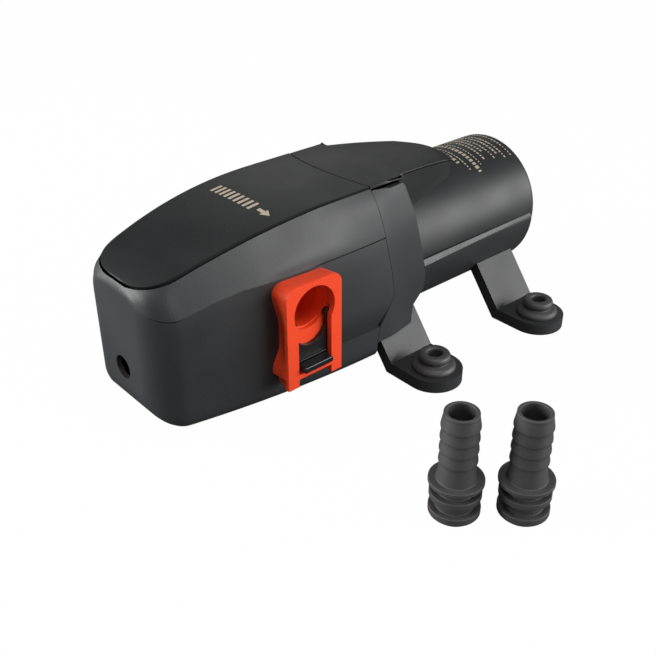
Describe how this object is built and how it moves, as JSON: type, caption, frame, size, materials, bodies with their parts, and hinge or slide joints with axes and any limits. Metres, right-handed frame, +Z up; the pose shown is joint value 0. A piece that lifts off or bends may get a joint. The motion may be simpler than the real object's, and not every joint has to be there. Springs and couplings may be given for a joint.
{
  "type": "in-line diaphragm pump",
  "caption": "Electric in-line diaphragm pump with a tapered head, red latch frames on its side ports, a round motor on bolt-down feet and two loose ribbed hose fittings.",
  "frame": {"origin": "centre of the four-hole foot pattern, on the surface that the pump stands on", "axes": "+X towards the motor end, +Y to the inlet side (-Y is the outlet side), +Z up"},
  "size_m": [0.2102, 0.2091, 0.0826],
  "materials": {
    "charcoal_plastic": "satin",
    "motor_paint": "satin black paint",
    "black_plastic": "satin",
    "red_plastic": "satin",
    "rubber": "matte",
    "steel": "satin",
    "dark_iron": "matte",
    "copper": "bare copper",
    "brass": "bare brass",
    "light_plastic": "satin"
  },
  "bodies": {
    "pump": {"lower_shell": "charcoal_plastic", "upper_shell": "charcoal_plastic", "top_cover": "charcoal_plastic", "tail_cover": "charcoal_plastic", "drive_collar": "charcoal_plastic", "motor_can": "motor_paint", "motor_cradle": "charcoal_plastic", "foot_grommets": "rubber", "outlet_frame": "red_plastic", "inlet_frame": "red_plastic", "manifold": "black_plastic", "valve_plate": "light_plastic", "inlet_valves": "rubber", "outlet_valve": "rubber", "diaphragm": "rubber", "piston_buttons": "light_plastic", "wobble_plate": "light_plastic", "cam_bearing": "steel", "drive_housing": "black_plastic", "pump_bolts": "steel", "motor_front_plate": "dark_iron", "front_bearing": "steel", "rear_bearing": "steel", "field_magnets": "dark_iron", "brush_plate": "light_plastic", "carbon_brushes": "dark_iron", "brush_springs": "steel", "through_bolts": "steel", "switch_body": "black_plastic", "switch_diaphragm": "rubber", "switch_spring": "steel", "micro_switch": "black_plastic", "cable_grommet": "rubber", "shell_screws": "steel"},
    "rotor": {"motor_shaft": "steel", "armature_core": "dark_iron", "armature_windings": "copper", "commutator": "copper", "eccentric_hub": "dark_iron"},
    "outlet_latch_body": {"outlet_latch": "charcoal_plastic"},
    "inlet_latch_body": {"inlet_latch": "charcoal_plastic"},
    "outlet_fitting_body": {"outlet_fitting": "charcoal_plastic"},
    "inlet_fitting_body": {"inlet_fitting": "charcoal_plastic"},
    "plunger": {"switch_plunger": "light_plastic"},
    "screw": {"adjusting_screw": "brass"}
  },
  "joints": [
    {"name": "rotor_spin", "type": "hinge", "parent": "pump", "child": "rotor", "pos_m": [0, 0, 0.0414], "axis": [1, 0, 0], "continuous": true},
    {"name": "outlet_latch_slide", "type": "slide", "parent": "pump", "child": "outlet_latch_body", "axis": [0, 0, 1], "range_m": [0, 0.0086]},
    {"name": "inlet_latch_slide", "type": "slide", "parent": "pump", "child": "inlet_latch_body", "axis": [0, 0, 1], "range_m": [0, 0.0086]},
    {"name": "outlet_fitting_lift", "type": "slide", "parent": "pump", "child": "outlet_fitting_body", "axis": [0, 0, 1], "range_m": [0, 0.1]},
    {"name": "inlet_fitting_lift", "type": "slide", "parent": "pump", "child": "inlet_fitting_body", "axis": [0, 0, 1], "range_m": [0, 0.1]},
    {"name": "plunger_slide", "type": "slide", "parent": "pump", "child": "plunger", "axis": [-1, 0, 0], "range_m": [0, 0.0012], "stiffness_N_per_m": 800},
    {"name": "screw_turn", "type": "hinge", "parent": "pump", "child": "screw", "pos_m": [0, 0, 0.029], "axis": [1, 0, 0], "range_deg": [-360, 360]}
  ]
}
